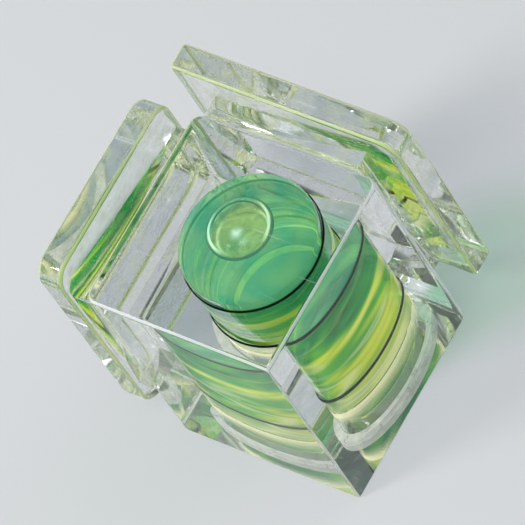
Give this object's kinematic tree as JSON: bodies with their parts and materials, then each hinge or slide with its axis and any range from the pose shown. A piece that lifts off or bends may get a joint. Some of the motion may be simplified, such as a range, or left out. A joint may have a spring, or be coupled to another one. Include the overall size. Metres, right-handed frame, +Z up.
{
  "type": "hot shoe bubble level",
  "caption": "Clear block level with a domed green vial and two shoe feet on adjoining sides.",
  "frame": {"origin": "middle of the whole part's footprint, in the plane of the block's bottom face", "axes": "+Z up the vial, towards its domed end; +Y out of the back foot's plate; -X out of the side foot's plate"},
  "size_m": [0.0192, 0.019, 0.0204],
  "materials": {
    "clear_acrylic": "injection-moulded clear acrylic, glossy",
    "plug_acrylic": "moulded clear acrylic",
    "cement": "cured cement, slightly milky",
    "black_line": "black lacquer line",
    "green_spirit": "fluorescent green spirit",
    "air": "air bubble in the liquid"
  },
  "bodies": {
    "root": {"block": "clear_acrylic", "end_plug": "plug_acrylic", "plug_cement": "cement", "lower_ring": "black_line", "upper_ring": "black_line", "spirit": "green_spirit", "bubble": "air"}
  },
  "joints": []
}
